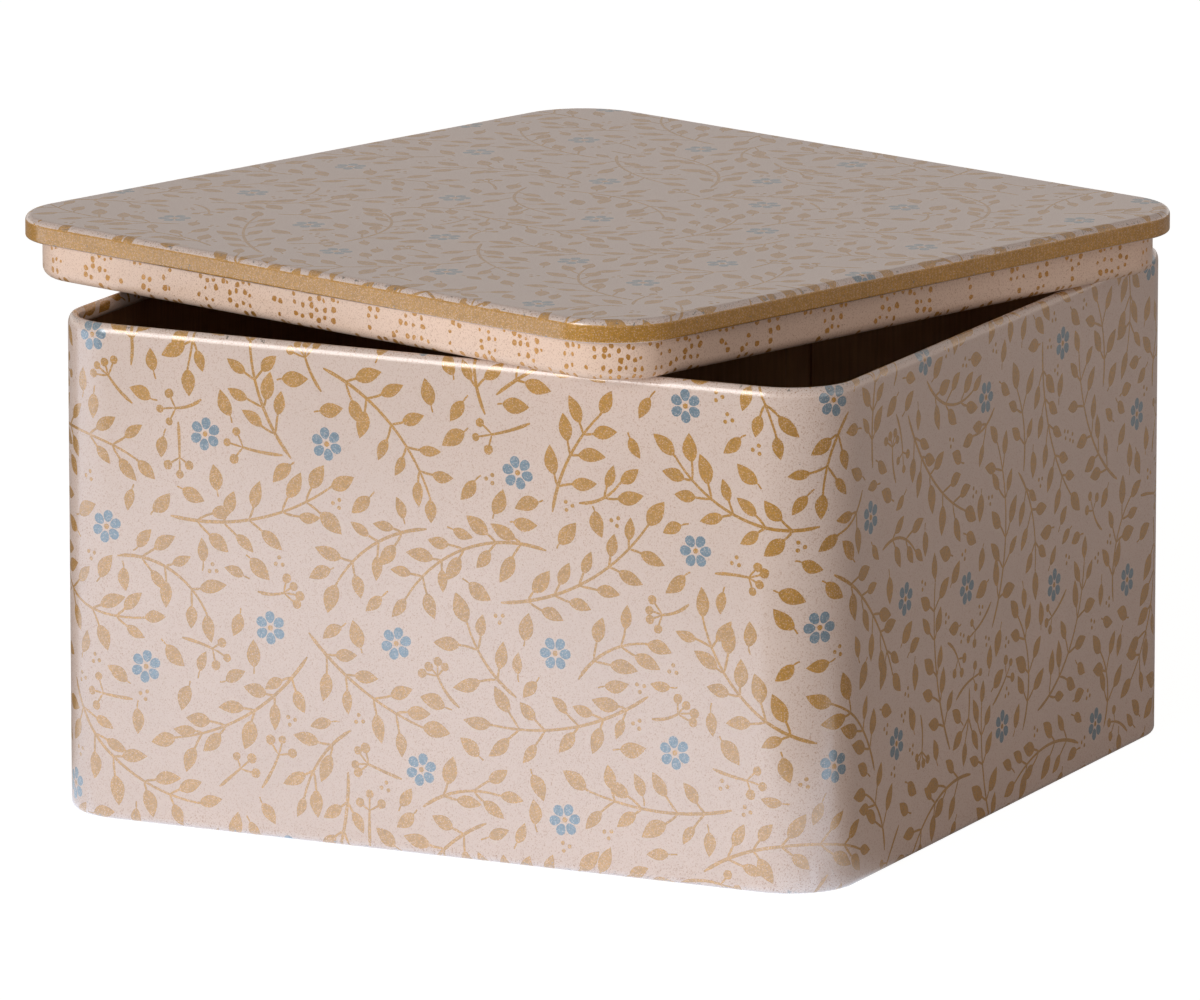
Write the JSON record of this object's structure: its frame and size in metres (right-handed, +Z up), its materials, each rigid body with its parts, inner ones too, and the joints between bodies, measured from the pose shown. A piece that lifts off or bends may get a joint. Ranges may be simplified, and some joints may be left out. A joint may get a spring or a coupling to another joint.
{
  "type": "metal box with loose lid",
  "caption": "Square printed tin with rounded corners and a curled rim, its loose plug lid lying askew across the open mouth, for papers and keepsakes.",
  "frame": {"origin": "on the surface the tin stands on, under the centre of the lid, which is the centre of the footprint of box and lid together; the box's own centre is 6.1 mm towards +X and 3.9 mm towards -Y", "axes": "+Z up, the way the lid lifts; the box's front face looks towards -Y and its right side towards +X; the lid is turned 17.3 degrees clockwise seen from above"},
  "size_m": [0.182, 0.182, 0.0995],
  "materials": {
    "printed_wall": "satin varnish over a pale print with gold and blue ink",
    "bare_tin": "bare tinplate",
    "printed_top": "satin varnish over a pale print, with a gold side band",
    "dotted_plug": "satin varnish over a blush ground with gold dots"
  },
  "bodies": {
    "box": {"body_wall": "printed_wall", "base_panel": "bare_tin"},
    "lid": {"lid_top_panel": "printed_top", "lid_plug_pan": "dotted_plug"}
  },
  "joints": [
    {"name": "lid_lift", "type": "slide", "parent": "box", "child": "lid", "axis": [0, 0, 1], "range_m": [0, 0.12]}
  ]
}
